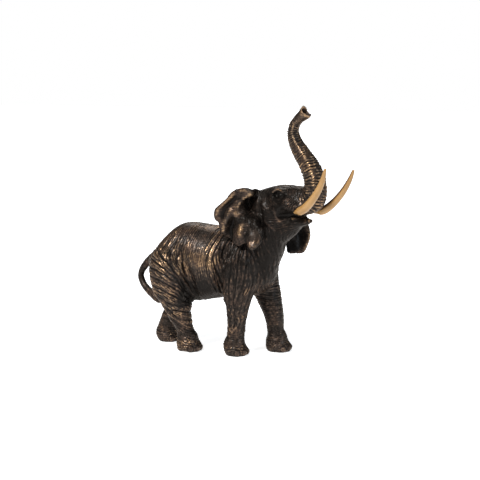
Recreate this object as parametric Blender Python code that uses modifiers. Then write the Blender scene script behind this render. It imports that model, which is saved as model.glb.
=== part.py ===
"""A trumpeting elephant figurine: one cast resin body standing on its own four feet, and two separate tusks.

The elephant walks along +X, its left side is +Y, and it stands on the plane z = 0. Its head is turned to
its right and raised. The tables below are in millimetres; MM turns them into Blender's metres.
The body is put together the way a sculptor works: big masses first, fused and softened, then the thin
forms, fused again, then the folds of the hide, pressed and raised on the fused skin.
"""

import math

import bmesh
import bpy
import numpy as np

MM = 0.001
MIDDLE = np.array([33.8, -8.5, 0.0])
SOCKET_GAP = 0.35
UP = np.array([0.0, 0.0, 1.0])
AHEAD = np.array([1.0, 0.0, 0.0])

BODY_TRIANGLES = 8700
MASS_VOXEL = 1.8
SKIN_VOXEL = 1.3
MASS_SOFTENING = 14
SKIN_SOFTENING = 5

NECK_PIVOT = np.array([55.0, -2.0, 0.0])
HEAD_TURN = math.radians(-25.0)
HEAD_TILT = 0.09

TORSO_MIDDLE = 100.0
# Along the trunk of the body: x, half-width, height of the back, height of the belly.
TORSO = (
    (-80, 7, 103, 88),
    (-75, 18, 108.5, 74),
    (-66, 26, 118, 64),
    (-54, 32, 132, 58),
    (-38, 34, 142, 55),
    (-22, 36.5, 143, 54),
    (-6, 38.5, 141, 57),
    (12, 38, 140, 61),
    (30, 35, 142, 64),
    (45, 30, 145, 66),
    (57, 25, 144, 71),
    (65, 19, 134, 79),
    (70.5, 10, 120, 88),
)
# Each limb, hip or shoulder first: x, y, z of the middle, half-width, reach ahead, reach behind.
LEGS = {
    "right_fore": (
        (38, -17, 128, 8, 12, 14),
        (38, -23, 110, 15.5, 19, 20),
        (36, -24.5, 90, 16.5, 19.5, 19),
        (33.5, -22, 70, 15, 16.5, 16),
        (31.5, -19.5, 54, 12.8, 13, 12.6),
        (30, -17.5, 38, 11.2, 11, 10.6),
        (28.3, -17, 24, 10.3, 10, 9.8),
        (27.5, -17, 12, 10.5, 10.3, 10.3),
    ),
    "left_fore": (
        (48, 17, 122, 8, 12, 14),
        (47.5, 22.5, 104, 15.5, 16.5, 19),
        (48.5, 23, 84, 16.5, 16.5, 18.5),
        (53.5, 20.5, 66, 15, 14.5, 16.5),
        (58.5, 18.5, 51, 13, 12.2, 13.3),
        (62.3, 17.3, 38, 11.4, 10.5, 11.3),
        (64.8, 16.5, 25, 10.4, 8.8, 10.5),
        (65.2, 16, 12, 10.6, 9.6, 10.7),
    ),
    "right_hind": (
        (-46, -15, 118, 8, 12, 12),
        (-47, -23, 104, 16.5, 22, 22),
        (-45.5, -26, 87, 18.5, 26, 24.2),
        (-43.5, -24.5, 70, 17, 23, 22.5),
        (-40.5, -21.5, 56, 14.2, 19, 18),
        (-38, -19.3, 44, 12.2, 14.5, 13.5),
        (-34, -18, 32, 10.9, 10.4, 11.2),
        (-31.5, -17, 21, 10.4, 9.0, 10.4),
        (-30.5, -17, 11, 10.8, 9.8, 10.6),
    ),
    "left_hind": (
        (-50, 14, 114, 8, 12, 12),
        (-53, 22, 100, 16, 22, 22),
        (-54, 24.5, 84, 17.8, 23.5, 23),
        (-55, 23, 67, 15.8, 20, 16.6),
        (-57.5, 20.5, 53, 13.2, 15.5, 10.9),
        (-61.5, 19, 39, 11.5, 12, 8.8),
        (-66, 18, 26, 10.7, 11, 10.8),
        (-69, 18, 14, 10.8, 11, 11),
    ),
}
# Each foot: x and y of its middle, how far it points outwards in degrees, how far its heel is tucked in.
FEET = {
    "right_fore": (28.3, -17, -8, 4),
    "left_fore": (67.5, 16, 6, 1),
    "right_hind": (-27.3, -17, -6, 1),
    "left_hind": (-68.5, 18, 8, 4),
}
FOOT_LENGTH, FOOT_WIDTH = 29.0, 28.0
# Down the foot: height, and its reach to the front and to the back as shares of half its length.
FOOT_PROFILE = (
    (21, 0.66, 0.70),
    (15, 0.68, 0.92),
    (10, 0.78, 1.07),
    (5, 0.93, 1.07),
    (2, 0.98, 1.04),
    (-4, 0.98, 1.0),
)
TOES = 4
TOE_RADIUS = 3.6

# The neck: x, y, z of the middle, half-width, reach up and back, reach down to the throat.
NECK = (
    (20, 0, 106, 29, 30, 32),
    (36, 0, 114, 28, 33, 35.5),
    (50.5, -2, 127, 25, 32, 33.5),
    (62.5, -7, 143, 23, 28, 26.5),
    (73, -12, 158, 21, 23, 21),
)
HEAD_MIDDLE = 168.0
# Along the head, in the head's own directions: ahead, half-width, height of the crown, height below.
SKULL = (
    (-14, 15, 174, 146),
    (-4, 20, 181, 142),
    (10, 22.5, 186.6, 140),
    (25, 21.5, 190.3, 142),
    (38, 19, 191.4, 148),
    (47, 17, 191.2, 155),
    (56, 15, 191.2, 160),
    (66, 12.5, 188.5, 162),
)
# The trunk: ahead, height, half-width, reach to its underside, reach to its back.
TRUNK = (
    (54, 173, 15, 12, 17),
    (65, 173.5, 13.5, 12, 15.5),
    (73, 178.5, 12.3, 12.8, 12.8),
    (75, 188, 11.8, 13.2, 12),
    (73.9, 198, 11.4, 12.6, 11.3),
    (69.8, 208, 10.8, 11.4, 10.3),
    (63, 217.5, 10.2, 9.9, 9.9),
    (54.9, 226.5, 9.2, 8.5, 9.3),
    (47.5, 235.5, 8, 7.5, 8.2),
    (43.4, 243.5, 6.9, 6.8, 6.8),
    (42.8, 250.5, 6.1, 6.6, 5.8),
    (45.8, 257, 5.6, 6.7, 5.3),
    (51, 262.3, 5.3, 7, 5.2),
    (56.4, 266, 5.5, 7.8, 6),
    (61, 268.6, 6.0, 8.4, 8.4),
    (63.6, 271.2, 5.6, 7.4, 9.6),
)
# The lower jaw: ahead, height, half-width, reach up, reach down.
JAW = (
    (10, 141, 17, 14, 17),
    (26, 142, 15.5, 13, 15),
    (40, 147, 12.8, 9.4, 11.5),
    (51, 151, 9.8, 5.4, 5.8),
    (59, 152.9, 7.6, 3.6, 4.2),
    (65, 154.2, 5.8, 3.4, 3.4),
    (69.3, 155.6, 3.2, 2.4, 2.4),
)
# Each ear, rib by rib from its crown to its lowest lobe: root, two points on the way, margin.
# Each point is ahead, outwards from the middle of the head, height.
RIGHT_EAR = (
    ((8, 18, 181.5), (8, 23, 183.5), (5, 28.5, 184.7), (2, 34, 185)),
    ((10, 19, 177.5), (4, 20, 176.5), (2, 33.5, 180.5), (-4.5, 42.5, 181.5)),
    ((11, 20, 172), (1.5, 22, 171.5), (-2, 37, 173.5), (-12, 47, 171.5)),
    ((12, 21, 167), (2, 24, 166), (-5.5, 38, 164.5), (-23.8, 50, 160.7)),
    ((13, 22, 162), (5, 27, 160), (-5, 39, 157), (-25, 50, 150.3)),
    ((15, 22, 158), (8, 29, 154), (-3.5, 37, 149.5), (-22.5, 46.8, 144.5)),
    ((16, 22.5, 153.5), (12, 31, 148.5), (-3, 35, 143), (-21.5, 44, 134.5)),
    ((17.5, 23, 150.5), (15, 33, 145), (1.5, 36, 138), (-13, 40, 128.5)),
    ((19, 23.5, 147.5), (17.5, 34, 142), (8, 38, 133.5), (3, 41, 121)),
    ((20, 24, 145.5), (20.5, 34, 140), (15.5, 38, 134), (11.5, 40, 128)),
    ((21, 24, 143), (24, 33, 139.5), (23.5, 37, 132), (20, 38, 119)),
    ((22, 24, 142), (26.5, 31, 139.5), (28, 34, 135.5), (29.5, 34, 127.5)),
    ((21.5, 23.5, 142.5), (26, 28, 141), (28, 29.5, 139.5), (30.5, 31.5, 137.5)),
)
LEFT_EAR = (
    ((9, 17, 181), (10, 22, 182), (10, 27, 182), (9, 33, 181)),
    ((8, 19, 177), (6, 29, 178.5), (3, 38, 178.5), (-1, 46, 176.5)),
    ((7, 20, 172), (4, 33, 171), (0, 45, 169.5), (-5, 54, 166)),
    ((8, 21, 167), (4, 36, 163), (1, 48, 160), (-4, 58, 155)),
    ((10, 22, 161), (7, 36, 155), (5.5, 47, 151), (4.5, 58.5, 148)),
    ((12, 22, 157), (12, 34, 150), (12.5, 44, 145), (13, 56.5, 142)),
    ((13, 22, 153), (14, 33, 144), (16, 43, 137), (18.5, 54, 130)),
    ((14, 21.5, 150), (15, 31, 140), (17, 40, 130), (16.5, 49, 118)),
    ((14, 21, 148), (15, 29, 138), (16, 37, 127), (13.5, 44, 114)),
    ((14, 20.5, 146), (14, 28, 137), (14, 34, 128), (11.5, 40.5, 116.5)),
    ((14, 20, 145), (13, 26, 136), (12, 32, 126), (10, 38, 113.5)),
    ((14, 19, 143), (12, 23, 136), (9, 27, 128), (6, 31, 114)),
)
EAR_THICKNESS = 3.2
EAR_STEPS_DOWN, EAR_STEPS_ACROSS = 6, 10
# Folds of each ear: width, height towards the front of the ear, and a path over the ear's own leaf. A point
# of the path is a rib, counted from the crown, and a share of the way from the root to the margin.
RIGHT_EAR_FOLDS = {
    "rolled_rim": (2.6, 3.2, ((0.4, 0.45), (0.7, 0.8), (1.4, 0.9), (2.4, 0.93), (3.2, 0.95), (4.2, 0.96))),
    "under_the_rim": (2.8, -2.6, ((1.9, 0.72), (2.4, 0.79), (3.2, 0.84), (4.1, 0.86))),
    "crest": (2.8, 4.6, ((0.7, 0.42), (1.4, 0.58), (2.2, 0.62), (3.0, 0.62), (3.9, 0.64), (4.7, 0.64))),
    "hollow": (5.2, -7.5, ((1.0, 0.2), (1.7, 0.32), (2.8, 0.32), (3.7, 0.26), (4.6, 0.15))),
    "hind_lobe": (2.6, 3.6, ((3.5, 0.72), (4.4, 0.8), (5.2, 0.9), (6.0, 0.95))),
    "hind_recess": (3.0, -5.2, ((4.6, 0.71), (5.4, 0.76), (6.2, 0.84), (7.0, 0.94))),
    "front_lobe": (5.0, 4.6, ((5.3, 0.5), (6.6, 0.58), (7.6, 0.68))),
    "notch": (2.4, -5.0, ((7.4, 0.5), (8.3, 0.66), (8.7, 0.85), (8.8, 1.0))),
    "front_rim": (2.2, 3.2, ((6.0, 0.2), (11.2, 0.3), (11.7, 0.63), (10.9, 0.86), (10.2, 0.95), (9.6, 0.9))),
    "front_cup": (3.2, -3.2, ((8.6, 0.32), (10.0, 0.5), (10.0, 0.72))),
}
LEFT_EAR_FOLDS = {
    "rolled_rim": (2.8, 4.6, ((2.5, 0.96), (4.8, 0.96), (5.9, 0.95), (6.9, 0.95), (8.0, 0.96), (10.6, 0.96))),
    "cup": (8.5, -9.0, ((3.5, 0.55), (4.8, 0.55), (6.2, 0.58), (7.6, 0.62), (9.6, 0.6))),
    "crease": (2.4, 2.4, ((7.4, 0.35), (8.4, 0.62), (8.8, 0.85))),
}
# The eyeball, and the hollow end of the trunk: ahead, outwards, height, radius.
EYE = (37, 9.6, 180.0, 4.6)
NOSTRIL = (64, 0, 271.6, 4.4)
NOSTRIL_DEPTH = 9.0
NOSTRIL_FACING = (0.80, 0, 0.60)
# The tail and its tuft, laid on the right thigh: x, y, z, radius.
TAIL = (
    (-68, 0, 101, 6.5),
    (-75.5, -0.5, 102, 5.4),
    (-82, -1.5, 96.7, 4.8),
    (-88.8, -3, 88.2, 4.2),
    (-92.2, -4, 80, 3.7),
    (-89.4, -5.5, 72, 3.9),
    (-83.6, -8, 65.8, 4.1),
    (-76.3, -11.5, 61.4, 4.5),
    (-69, -15.5, 58, 4.7),
    (-61, -19.5, 53, 3.4),
)
# Each tusk: ahead, outwards, height, radius.
TUSK = (
    (60, 15.2, 164.6, 2.6),
    (66.2, 16.3, 165.0, 3.0),
    (67.6, 16.6, 165.3, 4.4),
    (73.5, 17.3, 167.5, 4.75),
    (80.6, 18.0, 172.4, 4.45),
    (88, 18.9, 179.2, 4.1),
    (95.2, 19.8, 187.5, 3.65),
    (101.1, 20.6, 196.3, 3.1),
    (105.2, 21.6, 204.8, 2.35),
    (107.7, 22.4, 212.3, 1.3),
)
# The sleeve that each tusk is set in: ahead, outwards, height, radius.
TUSK_SOCKET = (
    (44, 11, 173, 9),
    (55, 13.5, 170, 7.8),
    (62, 15.4, 167, 6.2),
    (65.5, 16.2, 165.8, 5.0),
)
# The tongue, laid in the same way as the jaw.
TONGUE = (
    (36, 153, 9, 5, 5),
    (48, 156.3, 7.5, 3.6, 3.6),
    (57, 157.2, 6, 2.6, 2.6),
    (62.5, 157.6, 3.5, 1.6, 1.6),
)
# Strokes of the modelling tool, drawn on both sides of the head: width, height (pressed if less than 0)
# and a path of points ahead and up.
HEAD_STROKES = {
    "eye_socket": (3.4, -5.0, ((33, 180.4), (37, 180.6), (41, 179.7))),
    "brow": (2.3, 3.0, ((28.5, 181.5), (32, 186), (38, 187), (44.5, 183.5))),
    "lower_lid": (2.0, 1.4, ((31, 176.5), (36, 174.5), (42, 175.5))),
    "temple": (6.5, -3.0, ((19, 180), (24, 174), (27, 168))),
    "cheekbone": (3.5, 1.8, ((16, 170), (24, 163.5), (34, 163), (43, 168), (52, 172))),
    "cheek": (6.0, 2.6, ((24, 155), (31, 151), (37, 153))),
    "mouth_corner": (3.0, -4.0, ((42, 158), (52, 160), (61, 160.5))),
    "jaw_line": (4.0, -1.6, ((17, 143), (28, 138), (38, 141))),
    "ear_front": (3.2, -3.2, ((14, 172), (17, 160), (21, 148))),
    "socket_side": (5.0, -2.0, ((60, 176), (66, 181))),
}
# The same on each leg: across is 1 at its front edge and -1 at its back edge.
FORE_STROKES = {
    "shoulder_front": (6.0, -2.4, ((124, 0.95), (108, 0.8), (92, 0.9), (78, 1.0))),
    "shoulder_blade": (6.0, 2.2, ((126, 0.1), (112, 0.3), (100, 0.35))),
    "behind_shoulder": (5.0, -4.6, ((118, -0.95), (102, -1.08), (86, -1.1), (74, -1.05))),
    "shoulder_fold": (3.6, 2.6, ((116, -1.42), (100, -1.55), (84, -1.55), (72, -1.45))),
    "long_muscle": (4.5, 1.8, ((104, -0.45), (88, -0.5), (74, -0.5), (62, -0.55))),
    "muscle_valley": (4.0, -1.5, ((100, 0.05), (86, 0.0), (72, -0.05))),
    "elbow": (5.0, 1.6, ((72, -0.6), (66, -0.7))),
    "knee": (5.5, 1.2, ((44, 0.4), (38, 0.45))),
    "wrist": (4.0, -1.2, ((23, -0.8), (22, 0.0), (23, 0.8))),
}
HIND_STROKES = {
    "groin": (5.5, -5.4, ((112, 0.72), (98, 0.86), (84, 1.0), (70, 1.05), (60, 1.0))),
    "thigh": (8.0, 2.0, ((94, 0.1), (80, 0.25), (68, 0.35))),
    "hip": (7.0, 1.6, ((108, -0.1), (103, 0.2))),
    "thigh_back": (5.0, -2.0, ((100, -0.62), (86, -0.4), (72, -0.35), (60, -0.4))),
    "knee": (5.0, 1.4, ((60, 0.55), (54, 0.6))),
    "hock": (4.5, 1.6, ((40, -0.75), (35, -0.8))),
    "shin": (4.0, -1.3, ((46, -0.1), (36, 0.0), (28, 0.0))),
    "ankle": (4.0, -1.0, ((21, -0.8), (20, 0.0), (21, 0.8))),
}
# The ridge of the back: x and height.
SPINE = (
    (-75, 102),
    (-66, 115.5),
    (-54, 129.5),
    (-38, 139),
    (-22, 140.2),
    (-6, 138.5),
    (12, 137.5),
    (30, 139),
)


def smooth_rows(rows, per_span):
    """Rows of numbers joined by Catmull and Rom's curve through all of them, per_span steps between two."""
    rows = np.array(rows, float)
    ends = np.vstack([2 * rows[0] - rows[1], rows, 2 * rows[-1] - rows[-2]])
    found = []
    for before, start, end, after in zip(ends, ends[1:], ends[2:], ends[3:]):
        for t in np.arange(per_span) / per_span:
            found.append(
                start
                + 0.5 * t * (end - before)
                + t * t * (before - 2.5 * start + 2 * end - 0.5 * after)
                + t * t * t * (1.5 * (start - end) + 0.5 * (after - before))
            )
    return np.array(found + [rows[-1]])


def unit(vectors):
    return vectors / np.linalg.norm(vectors, axis=-1, keepdims=True)


HEAD_AHEAD = np.array([math.cos(HEAD_TURN), math.sin(HEAD_TURN), 0.0])
HEAD_LEFT = np.array([-math.sin(HEAD_TURN), math.cos(HEAD_TURN), -HEAD_TILT])


def in_head(points):
    """Points given ahead, to the left and up in the head's own directions, as points of the whole figure."""
    points = np.asarray(points, float)
    return NECK_PIVOT + points[..., :1] * HEAD_AHEAD + points[..., 1:2] * HEAD_LEFT + points[..., 2:3] * UP


class Clay:
    """Closed lumps of points and faces, gathered to be fused into one skin."""

    def __init__(self):
        self.points, self.faces, self.count = [], [], 0

    def add(self, points, faces):
        self.points.append(np.asarray(points, float))
        self.faces += [[i + self.count for i in face] for face in faces]
        self.count += len(points)

    def mesh(self, name):
        mesh = bpy.data.meshes.new(name)
        mesh.from_pydata(np.vstack(self.points) * MM, [], self.faces)
        return mesh


def grid_faces(rows, columns):
    """Faces of a tube of rows rings of columns points each, and its two caps."""
    faces = []
    for start in range(0, (rows - 1) * columns, columns):
        for c in range(columns):
            beside = (c + 1) % columns
            faces.append([start + c, start + beside, start + beside + columns, start + c + columns])
    return faces + [list(range(columns))[::-1], [(rows - 1) * columns + c for c in range(columns)]]


def loft(clay, stations, towards, along=None, sides=32, per_span=5):
    """A tube through oval sections: x, y, z of the middle, half-width, reach towards, reach away."""
    rows = smooth_rows(stations, per_span)
    middle = rows[:, :3]
    heading = unit(np.gradient(middle, axis=0))
    if along is not None:
        heading[:] = unit(along)
    first = unit(towards - (heading @ towards)[:, None] * heading)
    second = np.cross(heading, first)
    angle = np.linspace(0, 2 * math.pi, sides, endpoint=False)
    reach = np.where(np.cos(angle) > 0, rows[:, 4:5], rows[:, 5:6]) * np.cos(angle)
    width = rows[:, 3:4] * np.sin(angle)
    points = middle[:, None] + reach[..., None] * first[:, None] + width[..., None] * second[:, None]
    clay.add(points.reshape(-1, 3), grid_faces(len(rows), sides))


def ball(clay, middle, radii, turn=0.0):
    """An egg of three radii, turned about the vertical."""
    shape = bmesh.new()
    bmesh.ops.create_uvsphere(shape, u_segments=24, v_segments=16, radius=1)
    points = np.array([v.co for v in shape.verts]) * radii
    faces = [[v.index for v in face.verts] for face in shape.faces]
    shape.free()
    cos, sin = math.cos(turn), math.sin(turn)
    points = points @ np.array([[cos, sin, 0], [-sin, cos, 0], [0, 0, 1]])
    clay.add(points + middle, faces)


def fused(clay, name, voxel):
    """The lumps as one closed skin of nearly square faces about voxel wide: its points and faces."""
    lump = bpy.data.objects.new(name, clay.mesh(name))
    bpy.context.scene.collection.objects.link(lump)
    remesh = lump.modifiers.new("Fuse", "REMESH")
    remesh.mode = "VOXEL"
    remesh.voxel_size = voxel * MM
    graph = bpy.context.evaluated_depsgraph_get()
    mesh = lump.evaluated_get(graph).to_mesh()
    points = np.empty(len(mesh.vertices) * 3)
    mesh.vertices.foreach_get("co", points)
    faces = [list(face.vertices) for face in mesh.polygons]
    bpy.data.objects.remove(lump)
    return points.reshape(-1, 3) / MM, faces


def edges_of(faces):
    found = np.array([(face[i - 1], face[i]) for face in faces for i in range(len(face))])
    return np.unique(np.sort(found, axis=1), axis=0)


def spread(values, edges, count):
    """The mean of each point's neighbours."""
    near = np.bincount(edges.ravel(), minlength=count)[:, None]
    total = np.zeros_like(values)
    for axis in range(values.shape[1]):
        total[:, axis] = np.bincount(edges[:, 0], values[edges[:, 1], axis], count) + np.bincount(
            edges[:, 1], values[edges[:, 0], axis], count
        )
    return total / near


def normals_of(points, faces):
    quads = np.array([face if len(face) == 4 else face + face[-1:] for face in faces])
    first, second, third, fourth = (points[quads[:, corner]] for corner in range(4))
    across = np.cross(third - first, fourth - second)
    total = np.zeros_like(points)
    for corner in range(4):
        for axis in range(3):
            total[:, axis] += np.bincount(quads[:, corner], across[:, axis], len(points))
    return unit(total + 1e-12)


def softened(points, faces, rounds, on_ridges):
    """Hollow creases between lumps are filled in; ridges are worn down by the share on_ridges of that."""
    edges = edges_of(faces)
    for _ in range(rounds):
        step = spread(points, edges, len(points)) - points
        hollow = (step * normals_of(points, faces)).sum(1, keepdims=True) > 0
        points = points + 0.6 * step * np.where(hollow, 1.0, on_ridges)
    return points


def stroke(points, normals, along, side, path, width, height):
    """Raise or press the skin along a path drawn from one side. The drawing's directions are along and UP."""
    path = smooth_rows(path, 6)
    drawn = np.stack([points @ along, points[:, 2]], axis=1)
    near = (drawn > path.min(0) - 2.2 * width).all(1) & (drawn < path.max(0) + 2.2 * width).all(1)
    facing = np.clip(2.2 * normals[near] @ side, 0, 1) * np.clip((points[near] @ side - 1) / 5, 0, 1)
    apart = np.linalg.norm(drawn[near][:, None] - path, axis=2).min(1)
    moved = points.copy()
    moved[near] += normals[near] * (height * facing * np.exp(-((apart / width) ** 2)))[:, None]
    return moved


def nostril(points):
    """The open end of the trunk, pressed in from its tip."""
    *middle, radius = NOSTRIL
    facing = unit(NOSTRIL_FACING[0] * HEAD_AHEAD + NOSTRIL_FACING[2] * UP)
    offset = points - in_head(middle)
    depth = offset @ facing
    apart = np.linalg.norm(offset - depth[:, None] * facing, axis=1)
    share = np.exp(-((apart / radius) ** 6)) * np.clip((depth + 7) / 4, 0, 1) * (np.abs(depth) < 12)
    return points - NOSTRIL_DEPTH * share[:, None] * facing


def head_strokes(points, faces):
    points = points - NECK_PIVOT
    for width, height, path in HEAD_STROKES.values():
        for side in (-1, 1):
            normals = normals_of(points, faces)
            points = stroke(points, normals, HEAD_AHEAD, side * HEAD_LEFT, path, width, height)
    return points + NECK_PIVOT


def leg_strokes(points, faces):
    """The strokes follow each leg: a share of the reach ahead or behind is turned into a place along X."""
    for name, stations in LEGS.items():
        stations = np.array(stations, float)[::-1]
        side = np.array([0.0, math.copysign(1, stations[0, 1]), 0.0])
        for width, height, path in (HIND_STROKES if "hind" in name else FORE_STROKES).values():
            drawn = []
            for z, across in path:
                middle = np.interp(z, stations[:, 2], stations[:, 0])
                reach = np.interp(z, stations[:, 2], stations[:, 4 if across > 0 else 5])
                drawn.append((middle + across * reach, z))
            points = stroke(points, normals_of(points, faces), AHEAD, side, drawn, width, height)
    return points


def body_masses(clay):
    """Torso, neck, spine, legs and feet."""
    torso = [
        (x, 0, TORSO_MIDDLE, width, top - TORSO_MIDDLE, TORSO_MIDDLE - below)
        for x, width, top, below in TORSO
    ]
    loft(clay, torso, UP, along=AHEAD, sides=40)
    loft(clay, NECK, UP, sides=36)
    spine = [(x, 0, z, 3.5, 3.5, 7) for x, z in SPINE]
    loft(clay, spine, UP, along=AHEAD, sides=12)
    for stations in LEGS.values():
        loft(clay, stations, AHEAD)
    for place_of_foot in FEET.values():
        foot(clay, *place_of_foot)


def head_path(table):
    return [(*in_head((f, 0, z)), *sizes) for f, z, *sizes in table]


def beside_the_mouth(table, side, gap=0.0):
    """Round stations of a tusk or of its sleeve, on one side of the head."""
    return [(*in_head((f, side * out, z)), *[radius + gap] * 3) for f, out, z, radius in table]


def head_masses(clay):
    """Skull, brow, cheeks and the sockets that hold the tusks."""
    skull = [
        (*in_head((f, 0, HEAD_MIDDLE)), width, top - HEAD_MIDDLE, HEAD_MIDDLE - below)
        for f, width, top, below in SKULL
    ]
    loft(clay, skull, UP, along=HEAD_AHEAD)
    loft(clay, head_path(TRUNK), HEAD_AHEAD - 0.4 * UP, sides=24)
    for side in (-1, 1):
        loft(clay, beside_the_mouth(TUSK_SOCKET, side), UP, sides=20)


def facing_of(sheet):
    return unit(np.cross(np.gradient(sheet, axis=0), np.gradient(sheet, axis=1)))


def folded(sheet, folds, side):
    """The ear's leaf with its folds. They stand out to its front, or are pressed in if less than 0."""
    front = side * facing_of(sheet)
    last_row, last_column = sheet.shape[0] - 1, sheet.shape[1] - 1
    height = np.zeros(sheet.shape[:2])
    for width, rise, path in folds.values():
        path = smooth_rows(path, 8)
        row = np.clip(np.rint(path[:, 0] * EAR_STEPS_DOWN), 0, last_row).astype(int)
        column = np.clip(np.rint(path[:, 1] * last_column), 0, last_column).astype(int)
        apart = np.linalg.norm(sheet[:, :, None] - sheet[row, column], axis=3).min(2)
        height += rise * np.exp(-((apart / width) ** 2))
    return sheet + height[..., None] * front


def ear(clay, ribs, folds, side):
    """A thick leaf: the ribs are swept into a curved sheet, folded, and given a back and a rounded margin."""
    ribs = np.array(ribs, float)
    ribs[..., 1] *= side
    ribs = in_head(ribs)
    down = smooth_rows(ribs.reshape(len(ribs), -1), EAR_STEPS_DOWN).reshape(-1, ribs.shape[1], 3)
    sheet = folded(np.array([smooth_rows(rib, EAR_STEPS_ACROSS) for rib in down]), folds, side)
    rows, columns = sheet.shape[:2]
    facing = facing_of(sheet)
    from_root = np.linspace(0, 1, columns)[None, :, None]
    half = EAR_THICKNESS / 2 * (1.5 - 0.75 * from_root)
    front = sheet + facing * half
    back = sheet - facing * half
    points = np.concatenate([front.reshape(-1, 3), back.reshape(-1, 3)])
    at = np.arange(rows * columns).reshape(rows, columns)
    under = at + rows * columns
    faces = []
    for r in range(rows - 1):
        for c in range(columns - 1):
            faces.append([at[r, c], at[r, c + 1], at[r + 1, c + 1], at[r + 1, c]])
            faces.append([under[r, c], under[r + 1, c], under[r + 1, c + 1], under[r, c + 1]])
    rim = [*at[0, :-1], *at[:-1, -1], *at[-1, :0:-1], *at[:0:-1, 0]]
    for here, there in zip(rim, rim[1:] + rim[:1]):
        faces.append([there, here, here + rows * columns, there + rows * columns])
    clay.add(points, faces)


def foot(clay, x, y, turn, tuck):
    """A round pad that swells to the front of the toes; under the heel it is tucked in."""
    turn = math.radians(turn)
    ahead = np.array([math.cos(turn), math.sin(turn), 0.0])
    half, wide = FOOT_LENGTH / 2, FOOT_WIDTH / 2
    stations = []
    for z, front, back in FOOT_PROFILE:
        heel = half * back - tuck * max(0.0, 1 - z / 9)
        stations.append((x, y, z, wide * (front + back) / 2, half * front, heel))
    loft(clay, stations, ahead, along=-UP, per_span=3)


def toes(clay, x, y, turn, tuck):
    """Toenails, as low domes around the front of the foot."""
    for step in range(TOES):
        angle = math.radians(turn + 112 * (step / (TOES - 1) - 0.5))
        reach = np.array([FOOT_LENGTH / 2 * math.cos(angle), FOOT_WIDTH / 2 * math.sin(angle), 0]) * 0.94
        ball(clay, np.array([x, y, 4.2]) + reach, (TOE_RADIUS, TOE_RADIUS, TOE_RADIUS * 1.15))


def build_body():
    masses = Clay()
    body_masses(masses)
    head_masses(masses)
    points, faces = fused(masses, "masses", MASS_VOXEL)
    points = softened(points, faces, MASS_SOFTENING, 0.35)
    points = leg_strokes(points, faces)
    points = head_strokes(points, faces)

    skin = Clay()
    skin.add(points, faces)
    loft(skin, head_path(JAW), UP, sides=24)
    loft(skin, head_path(TONGUE), UP, sides=16)
    ear(skin, RIGHT_EAR, RIGHT_EAR_FOLDS, -1)
    ear(skin, LEFT_EAR, LEFT_EAR_FOLDS, 1)
    tail = [(*row[:3], row[3], row[3], row[3]) for row in TAIL]
    loft(skin, tail, np.array([0.0, 1.0, 0.0]), sides=14)
    for place_of_foot in FEET.values():
        toes(skin, *place_of_foot)
    for side in (-1, 1):
        f, out, z, radius = EYE
        ball(skin, in_head((f, side * out, z)), (radius, radius, radius))
    points, faces = fused(skin, "skin", SKIN_VOXEL)
    points = softened(points, faces, SKIN_SOFTENING, 0.4)
    return nostril(points), faces


def thinned(mesh, triangles):
    """The same skin in fewer triangles, cut off flat where it meets the ground."""
    lump = bpy.data.objects.new("thinned", mesh)
    bpy.context.scene.collection.objects.link(lump)
    thin = lump.modifiers.new("Thin", "DECIMATE")
    thin.ratio = triangles / (2 * len(mesh.polygons))
    graph = bpy.context.evaluated_depsgraph_get()
    shape = bmesh.new()
    shape.from_mesh(lump.evaluated_get(graph).to_mesh())
    bpy.data.objects.remove(lump)
    cut = bmesh.ops.bisect_plane(
        shape,
        geom=shape.verts[:] + shape.edges[:] + shape.faces[:],
        dist=1e-6,
        plane_co=(0, 0, 0),
        plane_no=UP,
        clear_inner=True,
    )
    rim = [edge for edge in cut["geom_cut"] if isinstance(edge, bmesh.types.BMEdge)]
    bmesh.ops.contextual_create(shape, geom=rim)
    bmesh.ops.triangulate(shape, faces=[face for face in shape.faces if len(face.verts) > 3])
    shape.to_mesh(mesh)
    shape.free()


def material(name, colour, metallic, roughness):
    made = bpy.data.materials.new(name)
    made.use_nodes = True
    shader = made.node_tree.nodes["Principled BSDF"]
    shader.inputs["Base Color"].default_value = (*colour, 1)
    shader.inputs["Metallic"].default_value = metallic
    shader.inputs["Roughness"].default_value = roughness
    return made


def tusk(side, gap=0.0):
    """A tusk, or with a gap the hollow of the socket that it is set in."""
    stations = np.array(beside_the_mouth(TUSK, side, gap))
    stations[0, :3] -= gap * unit(stations[1, :3] - stations[0, :3])
    clay = Clay()
    loft(clay, stations, UP, sides=12, per_span=2)
    return np.vstack(clay.points), clay.faces


def place(name, points, faces, finish, collection):
    mesh = bpy.data.meshes.new(name)
    mesh.from_pydata((points - MIDDLE) * MM, [], faces)
    mesh.shade_smooth()
    mesh.materials.append(finish)
    made = bpy.data.objects.new(name, mesh)
    collection.objects.link(made)
    return made


def main():
    for leftover in list(bpy.data.objects):
        bpy.data.objects.remove(leftover)
    collection = bpy.data.collections.new("elephant_figurine")
    bpy.context.scene.collection.children.link(collection)
    cutters = bpy.data.collections.new("cutters")
    bpy.context.scene.collection.children.link(cutters)
    bronze = material("bronzed_resin", (0.10, 0.065, 0.04), 0.6, 0.42)
    ivory = material("ivory_resin", (0.66, 0.42, 0.19), 0.0, 0.4)

    body = place("body", *build_body(), bronze, collection)
    thinned(body.data, BODY_TRIANGLES)
    for name, side in (("right", -1), ("left", 1)):
        place("tusk_" + name, *tusk(side), ivory, collection)
        socket = place("socket_" + name, *tusk(side, SOCKET_GAP), ivory, cutters)
        socket.hide_render = True
        socket.display_type = "WIRE"
        cut = body.modifiers.new("Socket " + name, "BOOLEAN")
        cut.operation = "DIFFERENCE"
        cut.object = socket


main()
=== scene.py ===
"""Looks of the elephant figurine: its hide's folds and patina, its ivory tusks and the studio."""

import math

import bmesh
import bpy
import numpy as np
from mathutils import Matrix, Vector
from mathutils.bvhtree import BVHTree


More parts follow.
